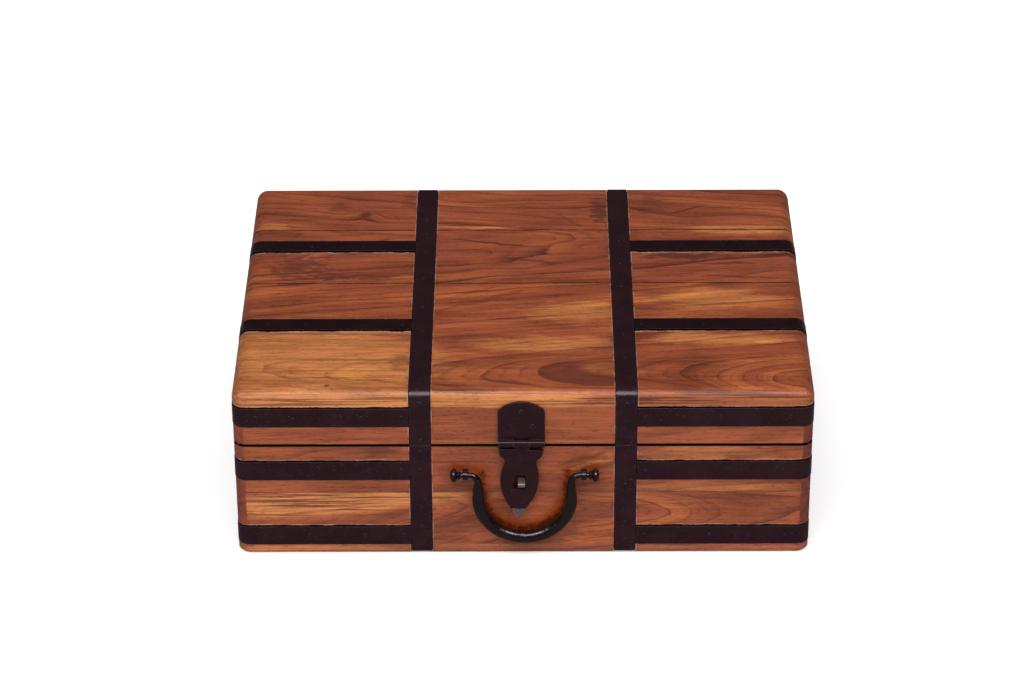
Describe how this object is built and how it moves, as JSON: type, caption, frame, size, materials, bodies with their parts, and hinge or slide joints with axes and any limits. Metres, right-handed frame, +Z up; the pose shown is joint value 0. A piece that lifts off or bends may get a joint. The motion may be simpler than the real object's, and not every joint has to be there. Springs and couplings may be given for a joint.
{
  "type": "ditty box",
  "caption": "Flat wooden box for papers and keepsakes, bound with inlaid iron straps, with a hinged lid, a swinging hasp over a staple, and a drop bail handle.",
  "frame": {"origin": "centre of the flat underside, midway between the wooden ends and between the wooden front and back faces", "axes": "+X to the right as seen from the hasp side, +Y to the hinge side, +Z up"},
  "size_m": [0.4018, 0.312, 0.1339],
  "materials": {
    "oiled_wood": "oiled reddish brown hardwood with strong grain",
    "strap_iron": "matte blackened iron",
    "hasp_iron": "matte blackened iron, rubbed at the edges",
    "handle_iron": "glossy black lacquered iron",
    "nail_iron": "blackened iron with rubbed heads",
    "worn_iron": "dark iron worn bright",
    "bright_iron": "bright iron wire and strip"
  },
  "bodies": {
    "base": {"base_back_lower": "oiled_wood", "base_back_upper": "oiled_wood", "base_bottom_back": "oiled_wood", "base_bottom_front": "oiled_wood", "base_bottom_middle": "oiled_wood", "base_front_lower": "oiled_wood", "base_front_upper": "oiled_wood", "base_hinge_leaf_left": "strap_iron", "base_hinge_leaf_right": "strap_iron", "base_hinge_nails": "nail_iron", "base_left_lower": "oiled_wood", "base_left_upper": "oiled_wood", "base_lower_band_left": "strap_iron", "base_lower_band_nails": "nail_iron", "base_lower_band_right": "strap_iron", "base_right_lower": "oiled_wood", "base_right_upper": "oiled_wood", "base_strap_left": "strap_iron", "base_strap_nails": "nail_iron", "base_strap_right": "strap_iron", "base_upper_band_left": "strap_iron", "base_upper_band_nails": "nail_iron", "base_upper_band_right": "strap_iron", "handle_eye_left": "bright_iron", "handle_eye_right": "bright_iron", "hasp_staple": "bright_iron", "lid_hinge_pin_left": "worn_iron", "lid_hinge_pin_right": "worn_iron"},
    "lid": {"lid_back": "oiled_wood", "lid_band_left": "strap_iron", "lid_band_nails": "nail_iron", "lid_band_right": "strap_iron", "lid_front": "oiled_wood", "lid_hinge_leaf_left": "strap_iron", "lid_hinge_leaf_right": "strap_iron", "lid_hinge_nails": "nail_iron", "lid_left": "oiled_wood", "lid_right": "oiled_wood", "lid_side_strap_back_left": "strap_iron", "lid_side_strap_back_right": "strap_iron", "lid_side_strap_front_left": "strap_iron", "lid_side_strap_front_right": "strap_iron", "lid_side_strap_nails": "nail_iron", "lid_strap_left": "strap_iron", "lid_strap_nails": "nail_iron", "lid_strap_right": "strap_iron", "lid_top_back": "oiled_wood", "lid_top_front": "oiled_wood", "lid_top_middle": "oiled_wood", "hasp_plate": "hasp_iron", "hasp_pin": "worn_iron", "hasp_plate_nails": "nail_iron"},
    "hasp_leaf": {"hasp_leaf": "hasp_iron"},
    "handle": {"handle_bail": "handle_iron"}
  },
  "joints": [
    {"name": "lid_hinge", "type": "hinge", "parent": "base", "child": "lid", "pos_m": [0, 0.15, 0.09], "axis": [-1, 0, 0], "range_deg": [0, 180]},
    {"name": "hasp_hinge", "type": "hinge", "parent": "lid", "child": "hasp_leaf", "pos_m": [-0.0012, -0.151, 0.0934], "axis": [-1, 0, 0], "range_deg": [0, 176]},
    {"name": "handle_pivot", "type": "hinge", "parent": "base", "child": "handle", "pos_m": [0.001, -0.154, 0.0693], "axis": [-1, 0, 0], "range_deg": [0, 168]}
  ]
}
